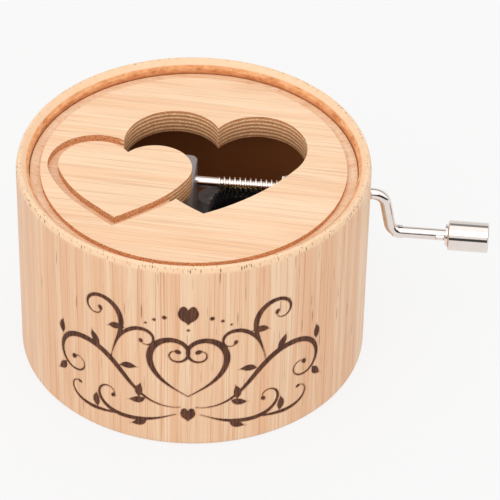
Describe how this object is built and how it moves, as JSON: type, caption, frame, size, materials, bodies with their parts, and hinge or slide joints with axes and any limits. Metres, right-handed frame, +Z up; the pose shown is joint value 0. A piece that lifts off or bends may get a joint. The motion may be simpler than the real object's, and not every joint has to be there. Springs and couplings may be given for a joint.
{
  "type": "hand-cranked music box",
  "caption": "Round bamboo music box with heart cut-outs in its lid, a bent wire hand crank with a turning knob, and a worm-driven pinned drum and comb inside.",
  "frame": {"origin": "centre of the underside of the base board, on the face the box stands on", "axes": "+X out along the crank shaft, +Y to the back of the box, +Z up"},
  "size_m": [0.094, 0.07, 0.0445],
  "materials": {
    "bamboo_case": "turned bamboo, clear sealed",
    "bamboo_board": "sanded bamboo",
    "bamboo_lid": "bamboo plywood, laser cut edges",
    "brassed_screw": "brassed steel",
    "plated_screw": "zinc plated",
    "cast_zinc": "as cast zinc alloy",
    "pressed_steel": "plated",
    "nylon": "natural nylon",
    "comb_steel": "ground spring steel",
    "lead": "soft lead alloy",
    "damper": "film",
    "drum_brass": "turned",
    "pin_steel": "drawn steel",
    "black_plastic": "moulded acetal",
    "nickel": "bright nickel plate",
    "nickel_knob": "bright nickel plate"
  },
  "bodies": {
    "case": {"case_body": "bamboo_case", "base_board": "bamboo_board", "lid": "bamboo_lid", "base_screws": "brassed_screw", "movement_screws": "plated_screw", "movement_washers": "plated_screw", "bedplate": "cast_zinc", "gear_bracket": "cast_zinc", "gear_bracket_screws": "plated_screw", "drum_bracket": "pressed_steel", "drum_bracket_screws": "plated_screw", "crank_bushing": "nylon", "comb": "comb_steel", "comb_screws": "plated_screw", "comb_weights": "lead", "comb_dampers": "damper"},
    "crank": {"crank_wire": "nickel", "shaft_clip": "pressed_steel"},
    "drum": {"drum_shell": "drum_brass", "drum_pins": "pin_steel", "drum_cap_front": "drum_brass", "drum_cap_rear": "drum_brass", "drum_axle": "pin_steel", "worm_wheel": "black_plastic"},
    "knob": {"knob": "nickel_knob"}
  },
  "joints": [
    {"name": "crank_turn", "type": "hinge", "parent": "case", "child": "crank", "pos_m": [0, 0.0055, 0.03445], "axis": [1, 0, 0], "continuous": true},
    {"name": "drum_turn", "type": "hinge", "parent": "case", "child": "drum", "pos_m": [0.00975, -0.01, 0.0259], "axis": [0, 1, 0], "continuous": true},
    {"name": "knob_spin", "type": "hinge", "parent": "crank", "child": "knob", "pos_m": [0.054, 0.0055, 0.0254], "axis": [1, 0, 0], "continuous": true}
  ],
  "couplings": [
    {"joint": "drum_turn", "follows": "crank_turn", "ratio": -0.022727}
  ]
}
